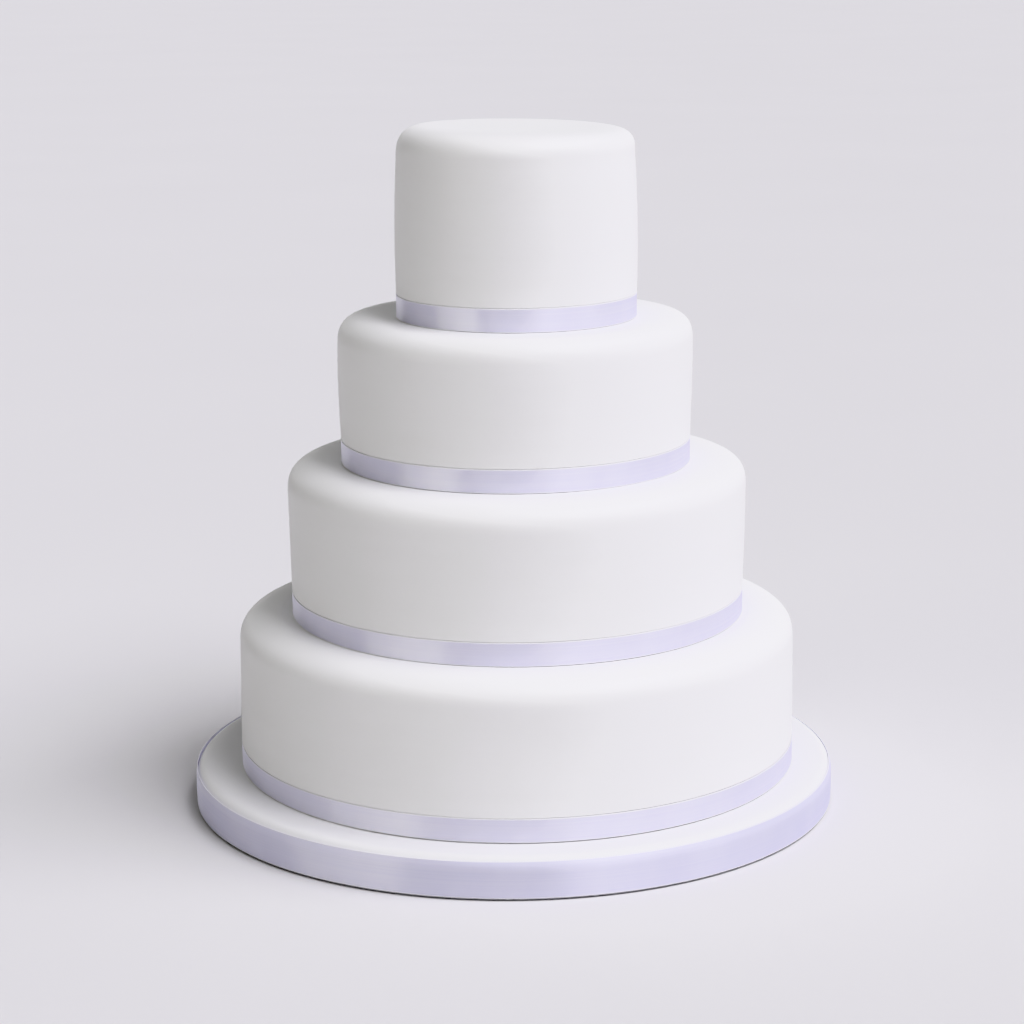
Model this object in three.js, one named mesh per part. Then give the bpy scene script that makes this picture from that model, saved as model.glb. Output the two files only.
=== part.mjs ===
// Four-tier round wedding cake on its iced drum, in millimetres, +Z up.
// Origin: centre of the drum's underside, on the table. -Y is the front, where no ribbon join shows.
// Each tier is one iced cake, set down on the tier below. A satin ribbon is wound round the foot of
// each tier and round the drum's edge, and its free end is glued over its start at the back.

import * as THREE from 'three';

// Drum: a thick round board, a layer of rolled icing and a ribbon on its edge
const DRUM_DIAMETER = 304.8;
const BOARD_THICKNESS = 12.7;
const BOARD_EDGE_BEVEL = 1.2;
const DRUM_ICING_THICKNESS = 6.5;
const DRUM_ICING_EDGE_RADIUS = 3.6;

// Tiers, bottom to top: icing radius at the foot, half way up and under the shoulder, height,
// how far the shoulder reaches in over the top, and how far off centre the tier was set down
const TIERS = [
  { name: 'tier_1', foot: 131.9, waist: 131.6, chest: 131.3, height: 72.3, reach: 19, shift: 1.7 },
  { name: 'tier_2', foot: 106.5, waist: 107.2, chest: 107.7, height: 71.8, reach: 16, shift: 2.4 },
  { name: 'tier_3', foot: 81.4, waist: 82.4, chest: 82.7, height: 67.9, reach: 12, shift: 2.2 },
  { name: 'tier_4', foot: 55.4, waist: 56.1, chest: 54.9, height: 87.1, reach: 17, shift: 3.0 },
];
const SHOULDER_DROP = 13;
const SHOULDER_FULLNESS = 2.6;

// Ribbons
const TIER_RIBBON_WIDTH = 10.8;
const DRUM_RIBBON_WIDTH = 16.6;
const DRUM_RIBBON_LIFT = 1.2;
const RIBBON_THICKNESS = 0.4;
const RIBBON_LIFT = 0.3;
const RIBBON_SLACK = 0.05;
const RIBBON_OVERLAP = 12;

// Facets
const TURN_STEPS = 80;
const SIDE_STEPS = 5;
const SHOULDER_STEPS = 6;
const EDGE_STEPS = 4;

const SUGAR_PASTE = { color: 0xf4f3f5, roughness: 0.55, metalness: 0 };
const LILAC_SATIN = { color: 0xcdc9e2, roughness: 0.35, metalness: 0 };
const FOIL_BOARD = { color: 0xc9c9cc, roughness: 0.3, metalness: 0.8 };

const cake = new THREE.Group();

// A solid of revolution about +Z from [radius, height] pairs that run up from axis to axis.
function turned(profile) {
  const points = profile.map(([radius, height]) => new THREE.Vector2(radius, height));
  const geometry = new THREE.LatheGeometry(points, TURN_STEPS);
  return geometry.rotateX(Math.PI / 2);
}

function addPiece(parent, name, geometry, finish) {
  const mesh = new THREE.Mesh(geometry, new THREE.MeshStandardMaterial(finish));
  mesh.name = name;
  parent.add(mesh);
  return mesh;
}

// The rolled board: flat underside, bevelled lower edge, plain wall and flat top.
function boardProfile(radius) {
  return [
    [0, 0],
    [radius - BOARD_EDGE_BEVEL, 0],
    [radius, BOARD_EDGE_BEVEL],
    [radius, BOARD_THICKNESS],
    [0, BOARD_THICKNESS],
  ];
}

// The icing disc on the board, its trimmed rim rounded over by hand.
function drumIcingProfile(radius) {
  const profile = [[0, 0], [radius, 0]];
  const centreRadius = radius - DRUM_ICING_EDGE_RADIUS;
  const centreHeight = DRUM_ICING_THICKNESS - DRUM_ICING_EDGE_RADIUS;
  for (let i = 0; i <= EDGE_STEPS; i++) {
    const angle = (i / EDGE_STEPS) * Math.PI / 2;
    profile.push([
      centreRadius + DRUM_ICING_EDGE_RADIUS * Math.cos(angle),
      centreHeight + DRUM_ICING_EDGE_RADIUS * Math.sin(angle),
    ]);
  }
  profile.push([0, DRUM_ICING_THICKNESS]);
  return profile;
}

// Radius of the icing's wall at a height above the tier's foot: a parabola through the foot, the
// waist and the chest, which gives the slight lean or belly of each tier.
function wallRadius(tier, height) {
  const share = height / wallHeight(tier);
  const foot = tier.foot * (1 - share) * (1 - 2 * share);
  const waist = tier.waist * 4 * share * (1 - share);
  const chest = tier.chest * share * (2 * share - 1);
  return foot + waist + chest;
}

function wallHeight(tier) {
  return tier.height - SHOULDER_DROP;
}

// The iced tier: wall, smoothed shoulder (a quarter of a superellipse) and flat top.
function tierProfile(tier) {
  const wallTop = wallHeight(tier);
  const profile = [[0, 0]];
  for (let i = 0; i <= SIDE_STEPS; i++) {
    const height = wallTop * i / SIDE_STEPS;
    profile.push([wallRadius(tier, height), height]);
  }
  for (let i = 1; i <= SHOULDER_STEPS; i++) {
    const angle = (i / SHOULDER_STEPS) * Math.PI / 2;
    const across = Math.max(Math.cos(angle), 0) ** (2 / SHOULDER_FULLNESS);
    const up = Math.sin(angle) ** (2 / SHOULDER_FULLNESS);
    const inner = i === SHOULDER_STEPS ? 0 : across * tier.reach;
    profile.push([tier.chest - tier.reach + inner, wallTop + SHOULDER_DROP * up]);
  }
  profile.push([0, tier.height]);
  return profile;
}

// A ribbon seen from above: once round, then over its own start for the glued overlap. The wall's
// facets and the ribbon's turn at the same angles, so the two lie parallel.
function ribbonOutline(radius) {
  const stepAngle = 2 * Math.PI / TURN_STEPS;
  const overlapSteps = Math.ceil(RIBBON_OVERLAP / (radius * stepAngle));
  const lastStep = TURN_STEPS + overlapSteps;
  const inside = [];
  const outside = [];
  for (let i = 0; i <= lastStep; i++) {
    const angle = Math.PI / 2 + i * stepAngle;
    const lift = i < TURN_STEPS ? 0 : RIBBON_THICKNESS + RIBBON_SLACK;
    const inner = radius + RIBBON_SLACK + lift;
    const direction = new THREE.Vector2(Math.cos(angle), Math.sin(angle));
    inside.push(direction.clone().multiplyScalar(inner));
    outside.push(direction.clone().multiplyScalar(inner + RIBBON_THICKNESS));
  }
  return new THREE.Shape(outside.concat(inside.reverse()));
}

function ribbonBand(radius, width) {
  return new THREE.ExtrudeGeometry(ribbonOutline(radius), { depth: width, bevelEnabled: false });
}

const drumRadius = DRUM_DIAMETER / 2 - RIBBON_THICKNESS - RIBBON_SLACK;
addPiece(cake, 'drum_board', turned(boardProfile(drumRadius)), FOIL_BOARD);
const drumIcing = addPiece(cake, 'drum_icing', turned(drumIcingProfile(drumRadius)), SUGAR_PASTE);
drumIcing.position.z = BOARD_THICKNESS;
const drumRibbon = addPiece(cake, 'drum_ribbon', ribbonBand(drumRadius, DRUM_RIBBON_WIDTH), LILAC_SATIN);
drumRibbon.position.z = DRUM_RIBBON_LIFT;

let seat = BOARD_THICKNESS + DRUM_ICING_THICKNESS;
for (const tier of TIERS) {
  const stack = new THREE.Group();
  stack.position.set(tier.shift, 0, seat);
  addPiece(stack, tier.name, turned(tierProfile(tier)), SUGAR_PASTE);
  const ribbonSeat = Math.max(tier.foot, wallRadius(tier, RIBBON_LIFT + TIER_RIBBON_WIDTH));
  const ribbon = addPiece(
    stack, `${tier.name}_ribbon`, ribbonBand(ribbonSeat, TIER_RIBBON_WIDTH), LILAC_SATIN,
  );
  ribbon.position.z = RIBBON_LIFT;
  cake.add(stack);
  seat += tier.height;
}

export default cake;
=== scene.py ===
import math

import bpy
import numpy as np
from mathutils import Matrix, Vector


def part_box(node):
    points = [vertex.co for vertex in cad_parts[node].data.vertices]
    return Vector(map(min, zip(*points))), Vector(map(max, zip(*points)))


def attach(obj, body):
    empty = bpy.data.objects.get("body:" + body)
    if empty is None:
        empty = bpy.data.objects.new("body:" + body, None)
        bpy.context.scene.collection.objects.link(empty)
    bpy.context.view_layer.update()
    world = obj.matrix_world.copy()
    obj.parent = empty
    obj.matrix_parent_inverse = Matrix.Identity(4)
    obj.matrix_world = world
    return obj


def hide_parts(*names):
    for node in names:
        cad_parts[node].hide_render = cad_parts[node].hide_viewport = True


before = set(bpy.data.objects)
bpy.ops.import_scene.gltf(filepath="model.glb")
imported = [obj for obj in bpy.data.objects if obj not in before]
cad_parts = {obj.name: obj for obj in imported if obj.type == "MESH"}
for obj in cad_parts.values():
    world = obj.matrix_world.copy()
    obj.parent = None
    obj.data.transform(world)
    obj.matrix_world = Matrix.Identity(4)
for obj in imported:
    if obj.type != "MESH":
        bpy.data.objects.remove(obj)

# ------------------------------------------------------------------ the guest's place
# The cake is looked at from 1.2 m in front and a little above, through a long lens that keeps
# the tiers' walls nearly upright. The view leans by half a degree.
MM = 0.001
VIEW_BACK = 1210.9 * MM
VIEW_HEIGHT = 410.4 * MM
VIEW_DOWN = math.radians(12.75)
VIEW_LEAN = math.radians(-0.468)
VIEW_SHIFT = (0.0003, 0.0005)
LENS_MM = 92.2
SENSOR_MM = 36

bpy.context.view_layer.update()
guest_view = bpy.data.objects.new("guest_view", bpy.data.cameras.new("guest_view"))
bpy.context.collection.objects.link(guest_view)
guest_view.data.lens = LENS_MM
guest_view.data.sensor_width = SENSOR_MM
guest_view.data.shift_x, guest_view.data.shift_y = VIEW_SHIFT
guest_view.matrix_world = (
    Matrix.Translation((0, -VIEW_BACK, VIEW_HEIGHT))
    @ Matrix.Rotation(math.pi / 2 - VIEW_DOWN, 4, "X")
    @ Matrix.Rotation(VIEW_LEAN, 4, "Z")
)
bpy.context.scene.camera = guest_view


# ------------------------------------------------------------------ the table top
# A plain pale painted table, matt, with only the faint cloudiness of its paint. It isn't part
# of the cake.
TABLE_HALF = 20.0
TABLE_PALE = (0.71, 0.7, 0.71, 1)
TABLE_DEEP = (0.69, 0.68, 0.69, 1)
TABLE_ROUGHNESS = 0.9
PAINT_CLOUDS = 2.5
PAINT_GRAIN = 180
PAINT_RELIEF = 0.12 * MM


class Shade:
    """One value in a finish. Sums and products of such values add their own nodes."""

    def __init__(self, tree, socket=None):
        self.tree = tree
        self.socket = socket

    def feed(self, node, inputs):
        """Gives a node's sockets their values, or links them to other values."""
        for name, value in inputs.items():
            if isinstance(value, Shade):
                self.tree.links.new(value.socket, node.inputs[name])
            else:
                node.inputs[name].default_value = value

    def node(self, kind, settings, inputs, output=0):
        """Adds one node: its settings first, then its sockets. Returns one of its outputs."""
        node = self.tree.nodes.new(kind)
        for name, value in settings.items():
            setattr(node, name, value)
        self.feed(node, inputs)
        return Shade(self.tree, node.outputs[output])

    def maths(self, operation, *values):
        return self.node("ShaderNodeMath", {"operation": operation}, dict(enumerate(values)))

    def __add__(self, other):
        return self.maths("ADD", self, other)

    def __sub__(self, other):
        return self.maths("SUBTRACT", self, other)

    def __rsub__(self, other):
        return self.maths("SUBTRACT", other, self)

    def __mul__(self, other):
        return self.maths("MULTIPLY", self, other)

    def __truediv__(self, other):
        return self.maths("DIVIDE", self, other)

    __radd__ = __add__
    __rmul__ = __mul__

    def wave(self):
        """A sine of the value, from 0 to 1."""
        return self.maths("SINE", self) * 0.5 + 0.5

    def rise(self, low, high):
        """From 0 at low to 1 at high, eased at both ends."""
        settings = {"interpolation_type": "SMOOTHSTEP"}
        return self.node("ShaderNodeMapRange", settings, {0: self, 1: low, 2: high, 3: 0, 4: 1})

    def tint(self, low, high):
        """A colour from low to high as the value goes from 0 to 1."""
        return self.node("ShaderNodeMix", {"data_type": "RGBA"}, {0: self, 6: low, 7: high}, 2)

    def parts(self):
        """The three parts of a place or a direction."""
        node = self.tree.nodes.new("ShaderNodeSeparateXYZ")
        self.feed(node, {0: self})
        return [Shade(self.tree, socket) for socket in node.outputs]

    def stretched(self, times):
        """A place multiplied along each of its axes."""
        return self.node("ShaderNodeVectorMath", {"operation": "MULTIPLY"}, {0: self, 1: times})

    def cloud(self, scale, detail=2.0):
        """Soft noise at a place, about 1 / scale metres from crest to crest."""
        inputs = {"Vector": self, "Scale": scale, "Detail": detail}
        return self.node("ShaderNodeTexNoise", {}, inputs)

    def relief(self, depth, strength=1.0):
        """The normal that this height, from 0 to 1, gives a surface with relief so deep."""
        inputs = {"Height": self, "Distance": depth, "Strength": strength}
        return self.node("ShaderNodeBump", {}, inputs)


def new_finish(name):
    """A material, its main shader, and each point's place in the piece's own metres."""
    material = bpy.data.materials.new(name)
    material.use_nodes = True
    tree = material.node_tree
    place = Shade(tree).node("ShaderNodeTexCoord", {}, {}, "Object")
    return material, tree.nodes["Principled BSDF"], place


def new_piece(name, points, faces, material):
    """A smooth-shaded mesh piece from its points and faces, in metres."""
    mesh = bpy.data.meshes.new(name)
    mesh.from_pydata(points, [], faces)
    mesh.polygons.foreach_set("use_smooth", [True] * len(faces))
    mesh.materials.append(material)
    piece = bpy.data.objects.new(name, mesh)
    bpy.context.collection.objects.link(piece)
    return piece


table_paint, shader, place = new_finish("table_paint")
place.feed(shader, {
    "Base Color": place.cloud(PAINT_CLOUDS, 4).tint(TABLE_DEEP, TABLE_PALE),
    "Roughness": TABLE_ROUGHNESS,
    "Specular IOR Level": 0.0,
    "Normal": place.cloud(PAINT_GRAIN, 4).relief(PAINT_RELIEF, 0.5),
})
corners = np.array([(-1, -1, 0), (1, -1, 0), (1, 1, 0), (-1, 1, 0)])
table = new_piece("table_top", corners * TABLE_HALF, [(0, 1, 2, 3)], table_paint)


# ------------------------------------------------------------------ the drum's board
# A thick laminated card round, wrapped in embossed silver foil that is pleated under the edge,
# with a disc of white paper glued over the pleats. The cake stands on the paper.
BOARD_EDGE = 1.0 * MM
BOARD_EDGE_RINGS = 7
BOARD_STEPS = 600
PLEATS = 150
PLEAT_DEPTH = 0.12 * MM
FOIL_LIT = (0.6, 0.6, 0.62, 1)
FOIL_DEEP = (0.42, 0.42, 0.45, 1)
FOIL_ROUGHNESS = 0.2
FOIL_SMEARS = 60
FOIL_CRINKLE = 220
EMBOSS_PITCH = 2.2 * MM
EMBOSS_DEPTH = 0.12 * MM
PAPER_THICKNESS = 0.25 * MM
PAPER_MARGIN = 9 * MM
PAPER_BEVEL = 0.04 * MM
PAPER_STEPS = 240
PAPER_WHITE = (0.86, 0.855, 0.84, 1)
PAPER_DEEP = (0.78, 0.77, 0.75, 1)
PAPER_ROUGHNESS = 0.85
PAPER_FIBRES = (900, 260, 1)
PAPER_RELIEF = 0.03 * MM


def spun_body(name, rings, material):
    """A closed body from rings of points that climb from a point on the axis to another."""
    count, steps = rings.shape[:2]
    inner = count - 2
    points = np.concatenate([rings[1:-1].reshape(-1, 3), rings[:1, 0], rings[-1:, 0]])
    below, above = inner * steps, inner * steps + 1
    along = np.arange(steps)
    onward = np.roll(along, -1)
    faces = []
    for ring in range(inner - 1):
        low, high = ring * steps, (ring + 1) * steps
        faces += np.stack([low + along, low + onward, high + onward, high + along], 1).tolist()
    top = (inner - 1) * steps
    faces += [(below, int(b), int(a)) for a, b in zip(along, onward)]
    faces += [(above, int(top + a), int(top + b)) for a, b in zip(along, onward)]
    return new_piece(name, points, faces, material)


def turn_angles(steps):
    """Angles round a full turn, counter-clockwise from +X."""
    return np.arange(steps) * 2 * math.pi / steps


def round_the_axis(radius, height, angle):
    """Points at these radii and heights, round the axis."""
    radius, height, angle = np.broadcast_arrays(radius, height, angle)
    return np.stack([radius * np.cos(angle), radius * np.sin(angle), height], -1)


def quarter(steps):
    """Angles of a quarter turn, from level to upright."""
    return np.linspace(0, math.pi / 2, steps)


board_low, board_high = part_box("drum_board")
board_radius = (board_high.x - board_low.x) / 2
board_foot = PAPER_THICKNESS

silver_foil, shader, place = new_finish("silver_foil")
emboss = place.stretched((1 / EMBOSS_PITCH,) * 3)
cells = {"Vector": emboss, "Scale": 1.0}
ridges = emboss.node("ShaderNodeTexVoronoi", {"feature": "DISTANCE_TO_EDGE"}, cells)
crinkle = place.cloud(FOIL_CRINKLE, 3)
place.feed(shader, {
    "Base Color": crinkle.tint(FOIL_DEEP, FOIL_LIT),
    "Metallic": 1.0,
    "Roughness": place.cloud(FOIL_SMEARS, 2) * 0.14 + FOIL_ROUGHNESS,
    "Normal": (ridges.rise(0.0, 0.12) + crinkle * 0.6).relief(EMBOSS_DEPTH, 0.7),
})

board_angles = turn_angles(BOARD_STEPS)
pleat = np.abs(np.sin(board_angles * PLEATS / 2)) * PLEAT_DEPTH
flat_radius = board_radius - BOARD_EDGE
wall_foot = board_foot + BOARD_EDGE
# Radius, height and how far it is pleated, from the middle of the underside to that of the top
board_outline = [(0, board_foot, 0)]
for share, pleated in ((0.6, 0), (0.9, 0), (0.95, 1), (0.98, 1)):
    board_outline.append((flat_radius * share, board_foot, pleated))
for turn in quarter(BOARD_EDGE_RINGS):
    radius = flat_radius + BOARD_EDGE * math.sin(turn)
    height = wall_foot - BOARD_EDGE * math.cos(turn)
    board_outline.append((radius, height, 1 - turn / (math.pi / 2)))
for share in (0.35, 0.7, 1.0):
    board_outline.append((board_radius, wall_foot + share * (board_high.z - wall_foot), 0))
board_outline += [(board_radius * 0.6, board_high.z, 0), (0, board_high.z, 0)]
board_rings = []
for radius, height, pleated in board_outline:
    board_rings.append(round_the_axis(radius, height + pleated * pleat, board_angles))
board = spun_body("board_card_and_foil", np.array(board_rings), silver_foil)
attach(board, "root")
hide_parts("drum_board")

white_paper, shader, place = new_finish("white_paper")
fibres = place.stretched(PAPER_FIBRES).cloud(1.0, 4)
place.feed(shader, {
    "Base Color": fibres.tint(PAPER_DEEP, PAPER_WHITE),
    "Roughness": PAPER_ROUGHNESS,
    "Normal": fibres.relief(PAPER_RELIEF),
})
paper_radius = board_radius - PAPER_MARGIN
paper_outline = [
    (0, 0),
    (paper_radius * 0.97, 0),
    (paper_radius, PAPER_BEVEL),
    (paper_radius, PAPER_THICKNESS),
    (0, PAPER_THICKNESS),
]
paper_rings = []
for radius, height in paper_outline:
    paper_rings.append(round_the_axis(radius, height, turn_angles(PAPER_STEPS)))
paper = spun_body("board_paper", np.array(paper_rings), white_paper)
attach(paper, "root")


# ------------------------------------------------------------------ the drum's icing
# Sugar paste rolled out thin, laid over the damp board and trimmed with a knife at its edge. The
# cut rim is stroked round with a fingertip, so its rounding changes a little along the way.
RIM_ROUNDING = 5.2 * MM
RIM_CHANGE = 0.5 * MM
RIM_RINGS = 10
DRUM_DIP = 0.22 * MM
DRUM_SINKS = 0.65 * MM
FULLY_SUNK_AT = 5 / 7
SEAT_INSIDE = 3 * MM
SEAT_EDGE = 2.5 * MM
DRUM_LEDGE_RINGS = 18
ICING_STEPS = 360
DRUM_PASTE = ((0.82, 0.815, 0.825, 1), (0.835, 0.83, 0.84, 1))
DRUM_STROKES = (24, 24, 24)
ICING_ROUGHNESS = 0.38
ICING_SHINE = 0.45
ICING_DRIFT = 16
ICING_GRAIN = 1500
ICING_PORES = 130.0
ICING_RELIEF = 0.25 * MM


def sugar_paste(name, stroke, deep, lit):
    """Rolled icing: off-white and satin, with the sugar's grain and the smoother's strokes."""
    material, shader, place = new_finish(name)
    drift = place.cloud(ICING_DRIFT, 2)
    strokes = place.stretched(stroke).cloud(1.0, 3)
    grain = place.cloud(ICING_GRAIN, 2)
    pores = place.node("ShaderNodeTexVoronoi", {}, {"Vector": place, "Scale": ICING_PORES})
    height = strokes * 0.6 + drift * 0.9 + grain * 0.05 + pores.rise(0.02, 0.09) * 0.04
    place.feed(shader, {
        "Base Color": (drift * 0.7 + strokes * 0.3).rise(0.3, 0.7).tint(deep, lit),
        "Roughness": drift * 0.12 + grain * 0.06 + ICING_ROUGHNESS,
        "Specular IOR Level": ICING_SHINE,
        "Normal": height.relief(ICING_RELIEF, 0.8),
    })
    return material


def by_hand(seed, waves):
    """A smooth seeded wobble round a full turn, between about -1 and 1."""
    draw = np.random.default_rng(seed)
    turns = np.arange(1, waves + 1)
    size = draw.uniform(0.5, 1.0, waves) / np.sqrt(turns)
    start = draw.uniform(0, 2 * math.pi, waves)

    def wobble(angle):
        angle = np.asarray(angle)[..., None]
        return (size * np.cos(turns * angle + start)).sum(-1) / size.sum() * 1.6

    return wobble


def eased(share):
    """0 up to 0, 1 from 1 on, and a smooth step between."""
    share = np.clip(share, 0, 1)
    return share * share * (3 - 2 * share)


def covered_by(tier):
    """How far out a tier covers the ledge that it stands on."""
    low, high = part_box(tier)
    return (high.x - low.x) / 2 - SEAT_INSIDE


def ledge_rings(angle, inner_edge, seat_radius, level, dips, sinks, count):
    """A ledge from its rounded edge in to the seat of the tier above. Soft icing sinks a little
    just outside the seat, and dips where a hand has smoothed it."""
    for share in np.linspace(0, 1, count)[1:]:
        radius = inner_edge + (seat_radius - inner_edge) * share
        outside_seat = (radius - seat_radius) / SEAT_EDGE
        sunk = sinks * eased(share / FULLY_SUNK_AT) * eased(outside_seat)
        yield round_the_axis(radius, level - sunk - dips * math.sin(math.pi * share), angle)


icing_low, icing_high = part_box("drum_icing")
icing_radius = (icing_high.x - icing_low.x) / 2
drum_seat_radius = covered_by("tier_1")
rim_wobble = by_hand(11, 9)
drum_dips = by_hand(12, 7)


def rim_rounding(angle):
    """How round the rim is stroked at an angle."""
    return RIM_ROUNDING + RIM_CHANGE * rim_wobble(angle)


drum_angles = turn_angles(ICING_STEPS)
rounding = rim_rounding(drum_angles)
icing_rings = []
for share in (0, 0.5, 1.0):
    icing_rings.append(round_the_axis(icing_radius * share, icing_low.z, drum_angles))
for turn in quarter(RIM_RINGS):
    radius = icing_radius - rounding * (1 - math.cos(turn))
    height = icing_high.z - rounding * (1 - math.sin(turn))
    icing_rings.append(round_the_axis(radius, height, drum_angles))
icing_rings += ledge_rings(
    drum_angles,
    icing_radius - rounding,
    drum_seat_radius,
    icing_high.z,
    DRUM_DIP * (0.6 + 0.4 * drum_dips(drum_angles)),
    DRUM_SINKS,
    DRUM_LEDGE_RINGS,
)
for share in (0.5, 0):
    icing_rings.append(round_the_axis(drum_seat_radius * share, icing_high.z, drum_angles))
drum_paste = sugar_paste("drum_sugar_paste", DRUM_STROKES, *DRUM_PASTE)
drum_icing = spun_body("drum_icing_sheet", np.array(icing_rings), drum_paste)
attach(drum_icing, "root")
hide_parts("drum_icing")


# ------------------------------------------------------------------ the drum's ribbon
# Double-faced satin, woven with a firm selvedge at both edges. It goes once round the drum and its
# end is glued over its start at the back. Its top edge folds in over the rounded rim.
RIBBON_THICKNESS = 0.26 * MM
RIBBON_GAP = 0.06 * MM
RIBBON_OVERLAP = 12 * MM
RIBBON_RAMP = 4 * MM
RIBBON_STEP = 1.0 * MM
RIBBON_EDGE_ROWS = np.array([0, 0.12, 0.3, 0.55, 0.85]) * MM
RIBBON_EDGE_FULLNESS = (0.3, 0.85, 1.0)
RIBBON_BODY_ROWS = 7
RIBBON_BACK_ROWS = 6
RIBBON_BACK_MARGIN = 0.1 * MM
SELVEDGE = 0.45 * MM
SELVEDGE_BEAD = 0.07 * MM
# Partly the selvedge's own paler thread, partly a painted highlight where the edge catches light.
SELVEDGE_PALE_AND_HIGHLIGHT = (0.9, 0.89, 0.93, 1)
SELVEDGE_ROUGHNESS = 0.6
STITCH_PITCH = 1.15 * MM
THREAD_PITCH = 0.3 * MM
PICK_PITCH = 2.3 * THREAD_PITCH
CLOTH_STREAKS = (9, 9, 1500)
CLOTH_MOTTLE = (70, 70, 40)
CLOTH_RELIEF = 0.025 * MM
SATIN_ROUGHNESS = 0.3
SATIN_IOR = 6.6
SHINE_LILAC = (0.96, 0.95, 1.0, 1)
DULL_LILAC = (0.79, 0.78, 0.95, 1)
WIDE_LILAC = ((0.61, 0.6, 0.86, 1), (0.69, 0.68, 0.9, 1))
NARROW_LILAC = ((0.74, 0.72, 0.96, 1), (0.82, 0.8, 0.99, 1))
# The wide band's top is painted paler, partly for the white icing behind the thin satin and partly
# as painted light from above on its leaning top: how its lower boundary wanders and fades, and how
# much paler matt lilac is mixed into it.
PALE_BAND_WANDER = 2.5 * MM
PALE_BAND_BLUR = 4 * MM
PALE_BAND_MATT = 0.5
HUG_LEAST = 0.2
HUG_MOST = 0.8
BAND_SLACK = 0.12 * MM


def lilac_satin(name, width, radius, over_board, over_icing_and_painted_light, icing_from, pale_band_matt):
    """Satin whose long floats run along the ribbon, so its shine spreads up and down. It is thin,
    so it looks paler from the height where white icing lies behind it; that pale band is also
    painted light from above on its leaning top, with a paler matt lilac mixed in over it."""
    material, shader, place = new_finish(name)
    across, sideways, up = place.parts()
    along = across.maths("ARCTAN2", across, 0 - sideways) * radius
    from_edge = up.maths("MINIMUM", up, width - up)
    woven_edge = 1 - from_edge.rise(SELVEDGE * 0.7, SELVEDGE * 1.2)
    streaks = place.stretched(CLOTH_STREAKS).cloud(1.0, 3)
    mottle = place.stretched(CLOTH_MOTTLE).cloud(1.0, 2)
    threads = (up * (2 * math.pi / THREAD_PITCH) + streaks * 5).wave()
    slant = up * (math.pi / THREAD_PITCH)
    picks = (along * (2 * math.pi / PICK_PITCH) + slant).wave()
    stitches = (along * (2 * math.pi / STITCH_PITCH)).wave().rise(0.45, 0.85) * woven_edge
    wandering = up + (mottle - 0.5) * PALE_BAND_WANDER
    # Painted light: paler from icing_from up, partly the icing behind the thin satin, partly light
    # from above on the leaning top.
    icing_behind_and_painted_light = wandering.rise(icing_from, icing_from + PALE_BAND_BLUR)
    tone = (streaks * 0.6 + mottle * 0.4).rise(0.3, 0.7)
    height = threads * 0.35 + picks * 0.15 + stitches * 1.6 + mottle * 1.2 + streaks * 0.5
    relief = height.relief(CLOTH_RELIEF, 0.8)
    place.feed(shader, {
        "Base Color": icing_behind_and_painted_light.tint(tone.tint(*over_board), tone.tint(*over_icing_and_painted_light)),
        "Roughness": streaks * 0.08 + SATIN_ROUGHNESS,
        "IOR": SATIN_IOR,
        "Specular Tint": SHINE_LILAC,
        "Anisotropic": 1.0,
        "Anisotropic Rotation": 0.25,
        "Normal": relief,
    })
    # The woven edge and its stitches are painted near white in a matt thread: partly the selvedge's
    # own paler weave, partly a painted highlight and painted glints where they catch light from
    # above.
    pale = woven_edge.tint(DULL_LILAC, SELVEDGE_PALE_AND_HIGHLIGHT)
    matt = {"Base Color": pale, "Roughness": SELVEDGE_ROUGHNESS, "Normal": relief}
    thread = place.node("ShaderNodeBsdfPrincipled", {}, matt)
    satin = Shade(place.tree, shader.outputs[0])
    edge_and_glint_share = woven_edge * 0.75 + stitches * 0.25
    # Over the wide band's pale top a paler matt lilac is mixed in as well: painted light.
    matt_share = edge_and_glint_share.maths("MAXIMUM", edge_and_glint_share, icing_behind_and_painted_light * pale_band_matt)
    surface = place.node("ShaderNodeMixShader", {}, {0: matt_share, 1: satin, 2: thread})
    place.feed(place.tree.nodes["Material Output"], {"Surface": surface})
    return material


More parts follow.
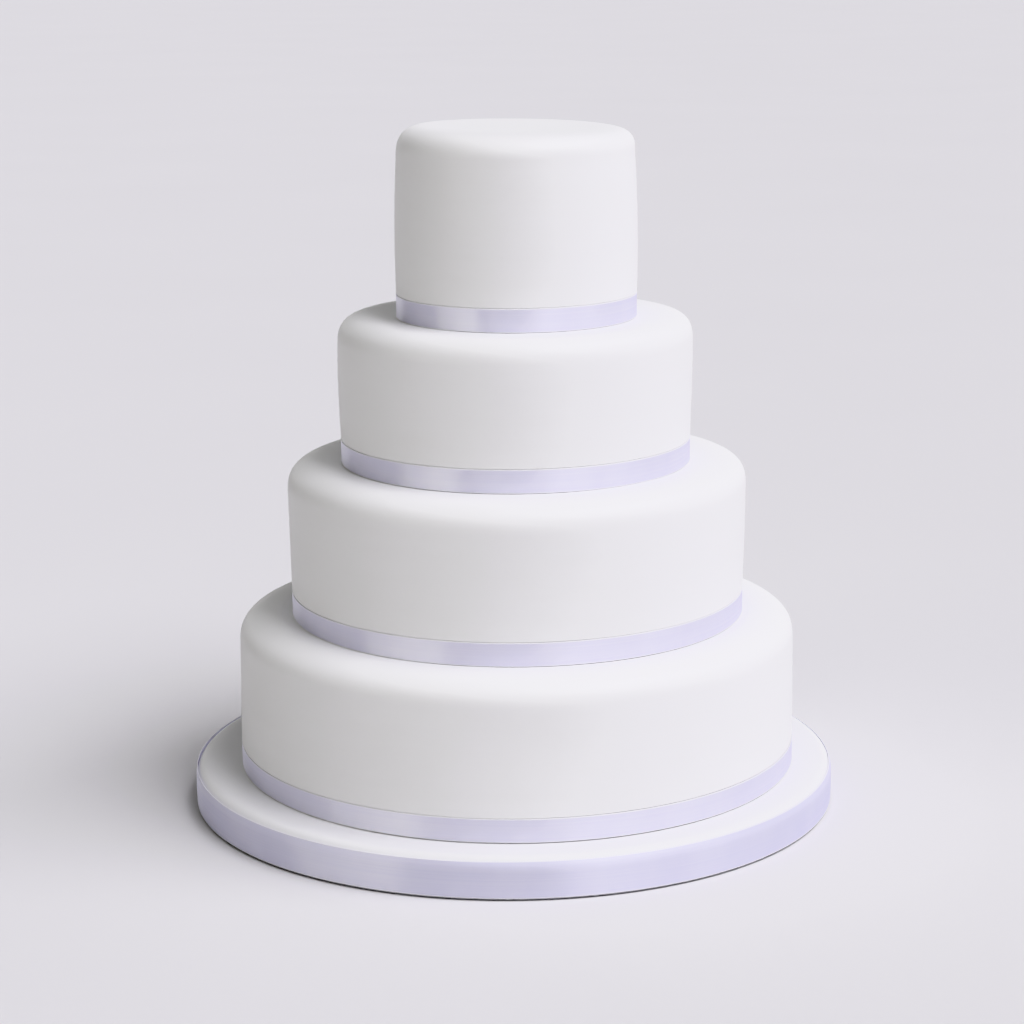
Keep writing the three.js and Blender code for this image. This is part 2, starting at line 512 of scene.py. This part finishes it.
def wound_ribbon(name, width, seat_radius, bend, material):
    """A satin strip wound round the axis from the back: seat_radius(angle) is where it lies, and
    bend(angle, share) how far out it stands at a share of its width. Returns its flat size too."""
    mean_radius = float(np.mean(seat_radius(turn_angles(90))))
    length = 2 * math.pi * mean_radius + RIBBON_OVERLAP
    along = np.linspace(0, length, int(length / RIBBON_STEP))
    angle = math.pi / 2 + along / mean_radius
    climb = eased((along - (length - RIBBON_OVERLAP - RIBBON_RAMP)) / RIBBON_RAMP)
    lie = seat_radius(angle) + RIBBON_GAP + climb * (RIBBON_THICKNESS + RIBBON_GAP + SELVEDGE_BEAD)

    # Its section: up the outside, with a bead at each woven edge, and back down the inside
    edge_rows = RIBBON_EDGE_ROWS
    body = np.linspace(edge_rows[-1], width - edge_rows[-1], RIBBON_BODY_ROWS + 2)[1:-1]
    ups = np.concatenate([edge_rows, body, width - edge_rows[::-1]])
    from_edge = np.minimum(ups, width - ups)
    fullness = np.interp(from_edge, edge_rows[:len(RIBBON_EDGE_FULLNESS)], RIBBON_EDGE_FULLNESS)
    bead = SELVEDGE_BEAD * np.exp(-(((from_edge - SELVEDGE / 2) / (SELVEDGE / 2.5)) ** 2))
    section = list(zip(ups, RIBBON_THICKNESS * fullness + bead))
    for up in np.linspace(width - RIBBON_BACK_MARGIN, RIBBON_BACK_MARGIN, RIBBON_BACK_ROWS):
        section.append((up, 0.0))

    rows = []
    for up, out in section:
        rows.append(round_the_axis(lie + out + bend(angle, up / width), up, angle))
    points = np.stack(rows, 1).reshape(-1, 3)
    here = np.arange(len(section))
    onward = np.roll(here, -1)
    faces = []
    for step in range(len(along) - 1):
        low, high = step * len(section), (step + 1) * len(section)
        faces += np.stack([low + here, high + here, high + onward, low + onward], 1).tolist()
    faces.append(here.tolist())
    faces.append((len(points) - len(section) + here[::-1]).tolist())
    return new_piece(name, points, faces, material), (width, length)


band_low, band_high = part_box("drum_ribbon")
band_width = band_high.z - band_low.z
hug_wobble = by_hand(370, 5)
slack_wobble = by_hand(22, 14)


def drum_seat(angle):
    """The band lies on the board's plain wall."""
    return np.full_like(angle, board_radius)


def drum_bend(angle, share):
    """The band follows the rim's rounding by a part that changes along the way."""
    rounding = rim_rounding(angle)
    over = np.clip((band_low.z + share * band_width - icing_high.z) / rounding + 1, 0, 1)
    inset = rounding * (1 - np.sqrt(1 - over * over))
    hug = HUG_LEAST + (HUG_MOST - HUG_LEAST) * eased(0.5 + 0.6 * hug_wobble(angle))
    slack = BAND_SLACK * (1 + slack_wobble(angle)) * math.sin(math.pi * share)
    return slack - hug * inset


# From the foot of the icing up, the band is painted paler: partly the icing behind it, partly
# painted light on its leaning top.
icing_from = icing_low.z - band_low.z
band_satin = lilac_satin(
    "wide_satin", band_width, board_radius, WIDE_LILAC, NARROW_LILAC, icing_from, PALE_BAND_MATT
)
drum_ribbon, cut = wound_ribbon(
    "drum_satin_ribbon", band_width, drum_seat, drum_bend, band_satin
)
drum_ribbon.location.z = band_low.z
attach(drum_ribbon, "root")
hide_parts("drum_ribbon")


# ------------------------------------------------------------------ the tiers and their ribbons
# Each tier is a cake on its card, covered with marzipan and sugar paste that is smoothed down over
# the shoulder. It stands on the tier below, and its narrow ribbon hides the join.
SHOULDER_DROP = 13 * MM
SHOULDER_FULLNESS = 2.6
REACH_CHANGE = 0.06
WALL_UNEVEN = 0.22 * MM
LEDGE_DIP = 0.3 * MM
TOP_MIDDLE = 15 * MM
RIBBON_BED = 0.3 * MM
BED_LIP = (0.1 * MM, 0.35 * MM)
STRIP_BOW = 0.07 * MM
STRIP_FLARE = 0.05 * MM
TIER_PASTE = ((0.885, 0.88, 0.88, 1), (0.905, 0.9, 0.905, 1))
TIER_STROKES = (10, 10, 130)
TIER_STEPS = 288
WALL_RINGS = 26
LIP_ROWS = np.linspace(-0.4, 0.6, 11) * MM
SHOULDER_RINGS = 22
LEDGE_RINGS = 16
# In millimetres: how far the foot, the waist and the chest lie inside the tier's widest radius,
# how far its shoulder reaches in, a belly on the left side, how far its ribbon is lifted, and how
# deep its ledge sinks at the foot of the next tier. Then how much fuller the shoulder is on the
# right, and how steeply the top falls to the right.
TIER_FORMS = {
    "tier_1": dict(
        foot=0.0, waist=0.3, chest=0.6, reach=19, belly=0.1,
        lift=-0.15, sinks=0.5, crisp=0.15, slope=0,
    ),
    "tier_2": dict(
        foot=1.2, waist=0.5, chest=0.0, reach=16, belly=0.0,
        lift=-0.25, sinks=0.15, crisp=0.7, slope=0,
    ),
    "tier_3": dict(
        foot=1.3, waist=0.3, chest=0.0, reach=12, belly=0.1,
        lift=0.0, sinks=0.5, crisp=0.4, slope=0,
    ),
    "tier_4": dict(
        foot=0.7, waist=0.0, chest=1.2, reach=17, belly=0.1,
        lift=-0.4, sinks=0.0, crisp=0.9, slope=0.018,
    ),
}


def tier_wall(form, widest, wall_height, ribbon_top, seed):
    """The icing's radius at an angle and a height: lean, belly, the unevenness of handwork, and the
    bed that the tight ribbon has pressed into it."""
    wide, high = by_hand(seed, 8), by_hand(seed + 1, 8)

    def radius(angle, height):
        share = np.clip(height / wall_height, 0, 1)
        foot = form["foot"] * (1 - share) * (1 - 2 * share)
        waist = form["waist"] * 4 * share * (1 - share)
        chest = form["chest"] * share * (2 * share - 1)
        once, twice = np.sin(math.pi * share), np.sin(2 * math.pi * share)
        belly = form["belly"] * np.cos((angle - math.pi) / 2) ** 4 * once
        uneven = WALL_UNEVEN * (wide(angle) * once + high(angle) * twice * 0.6)
        out_of_bed = (height - ribbon_top - BED_LIP[0]) / (BED_LIP[1] - BED_LIP[0])
        bed = RIBBON_BED * (1 - eased(out_of_bed))
        return widest - (foot + waist + chest - belly) * MM + uneven - bed

    return radius


def iced_tier(name, form, wall, ribbon_top, widest, height, seat_above, seed, material):
    """The tier's closed body, standing on its own foot at the origin."""
    angle = turn_angles(TIER_STEPS)
    wall_height = height - SHOULDER_DROP
    reach = form["reach"] * MM * (1 + REACH_CHANGE * by_hand(seed + 2, 7)(angle))
    dips = LEDGE_DIP * (0.5 + 0.5 * by_hand(seed + 3, 6)(angle))
    inner_edge = wall(angle, wall_height) - reach
    rings = [round_the_axis(0, 0, angle), round_the_axis(widest * 0.5, 0, angle)]
    lip = ribbon_top + LIP_ROWS
    for up in np.union1d(np.linspace(0, wall_height, WALL_RINGS), lip):
        rings.append(round_the_axis(wall(angle, up), up, angle))
    power = 2 / (SHOULDER_FULLNESS + form["crisp"] * np.maximum(np.cos(angle), 0))
    for turn in quarter(SHOULDER_RINGS)[1:]:
        radius = inner_edge + reach * max(math.cos(turn), 0.0) ** power
        up = wall_height + SHOULDER_DROP * math.sin(turn) ** power
        rings.append(round_the_axis(radius, up, angle))
    sinks = form["sinks"] * MM
    rings += ledge_rings(angle, inner_edge, seat_above, height, dips, sinks, LEDGE_RINGS)
    rings.append(round_the_axis(0, height, angle))
    rings = np.array(rings)
    falls = form["slope"] * eased((rings[..., 2] - wall_height) / SHOULDER_DROP)
    rings[..., 2] -= falls * rings[..., 0]
    return spun_body(name, rings, material)


def over_the_wall(wall, lift, width):
    """A ribbon's seat: the widest that the wall is within the ribbon's width."""

    def seat_radius(angle):
        heights = lift + width * np.linspace(0, 1, 5)
        return np.max([wall(angle, up) for up in heights], 0)

    return seat_radius


def taut_strip(seed):
    """A tight ribbon's bend: it bows a little across its width and flares at its edges."""
    pull, slack = by_hand(seed + 4, 5), by_hand(seed + 5, 16)

    def bend(angle, share):
        bow = STRIP_BOW * (1 + slack(angle)) * math.sin(math.pi * share)
        flare = STRIP_FLARE * (1 + pull(angle)) * abs(2 * share - 1) ** 5
        return bow + flare

    return bend


paste = sugar_paste("sugar_paste", TIER_STROKES, *TIER_PASTE)
seats_above = [covered_by(name) for name in list(TIER_FORMS)[1:]] + [TOP_MIDDLE]
for order, (name, form) in enumerate(TIER_FORMS.items()):
    low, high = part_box(name)
    widest = (high.x - low.x) / 2
    height = high.z - low.z
    middle = (low.x + high.x) / 2
    seed = 40 + 10 * order
    strip_low, strip_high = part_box(f"{name}_ribbon")
    strip_width = strip_high.z - strip_low.z
    strip_lift = form["lift"] * MM
    ribbon_top = strip_lift + strip_width
    wall = tier_wall(form, widest, height - SHOULDER_DROP, ribbon_top, seed)
    tier = iced_tier(
        f"{name}_iced", form, wall, ribbon_top, widest, height, seats_above[order], seed, paste
    )
    tier.location = (middle, 0, low.z)
    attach(tier, "root")
    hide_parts(name)

    satin = lilac_satin(
        f"{name}_satin", strip_width, widest, NARROW_LILAC, NARROW_LILAC, -strip_width, 0
    )
    strip_seat = over_the_wall(wall, strip_lift, strip_width)
    strip, cut = wound_ribbon(
        f"{name}_satin_ribbon", strip_width, strip_seat, taut_strip(seed), satin
    )
    strip.location = (middle, 0, low.z + strip_lift)
    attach(strip, "root")
    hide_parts(f"{name}_ribbon")


# ------------------------------------------------------------------ the light
# Soft studio light. A tall window of diffusion stands in front on the right, brightest near the
# front, and a dim ceiling carries on from it over the front. Pale walls are behind and on the
# right, and a low warm reflector with a warm wall above it is in front on the left.
WINDOW_WHITE = (1.0, 0.99, 1.05)
WALL_WHITE = (1.0, 1.0, 1.0)
REFLECTOR_WARM = (1.0, 1.0, 0.8)
# Each panel of the surroundings: its azimuth to the right of the front, from and to, its height
# above the horizon, from and to, all in degrees, its brightness and its tint
PANELS = {
    "window_near": ((27, 63), (38, 76), 7.8, WINDOW_WHITE),
    "window_far": ((63, 108), (38, 76), 6.0, WINDOW_WHITE),
    "ceiling_in_front": ((-37, 27), (40, 78), 1.6, WALL_WHITE),
    "walls_behind": ((63, 217), (-5, 20), 1.1, WALL_WHITE),
    "left_reflector": ((-80, -37), (-2, 16), 1.05, REFLECTOR_WARM),
    "left_wall": ((-66, -37), (16, 40), 0.75, REFLECTOR_WARM),
}
PANEL_SOFTNESS = 2.0
UNLIT = (0, 0, 0, 1)


def sine(degrees):
    return math.sin(math.radians(degrees))


def cosine(degrees):
    return math.cos(math.radians(degrees))


def panel_light(across, toward, up, level, panel):
    """One panel's light in a direction: all of it inside its edges and none outside, softly."""
    (left, right), (foot, top), brightness, tint = panel
    middle = (left + right) / 2
    half = (right - left) / 2
    facing = (across * sine(middle) - toward * cosine(middle)) / level
    within = facing.rise(cosine(half + PANEL_SOFTNESS), cosine(half - PANEL_SOFTNESS))
    above = up.rise(sine(foot - PANEL_SOFTNESS), sine(foot + PANEL_SOFTNESS))
    below = 1 - up.rise(sine(top - PANEL_SOFTNESS), sine(top + PANEL_SOFTNESS))
    lit = [brightness * part for part in tint]
    return (within * above * below).tint(UNLIT, (*lit, 1))


room = bpy.data.worlds.new("pale_studio")
bpy.context.scene.world = room
room.use_nodes = True
outward = Shade(room.node_tree).node("ShaderNodeTexCoord", {}, {}, "Generated")
across, toward, up = outward.parts()
level = outward.maths("SQRT", across * across + toward * toward)
glows = [panel_light(across, toward, up, level, panel) for panel in PANELS.values()]
total = glows[0]
for glow in glows[1:]:
    total = total.node("ShaderNodeVectorMath", {"operation": "ADD"}, {0: total, 1: glow})
total.feed(room.node_tree.nodes["Background"], {"Color": total, "Strength": 1.0})
bpy.context.scene.view_settings.view_transform = "Khronos PBR Neutral"
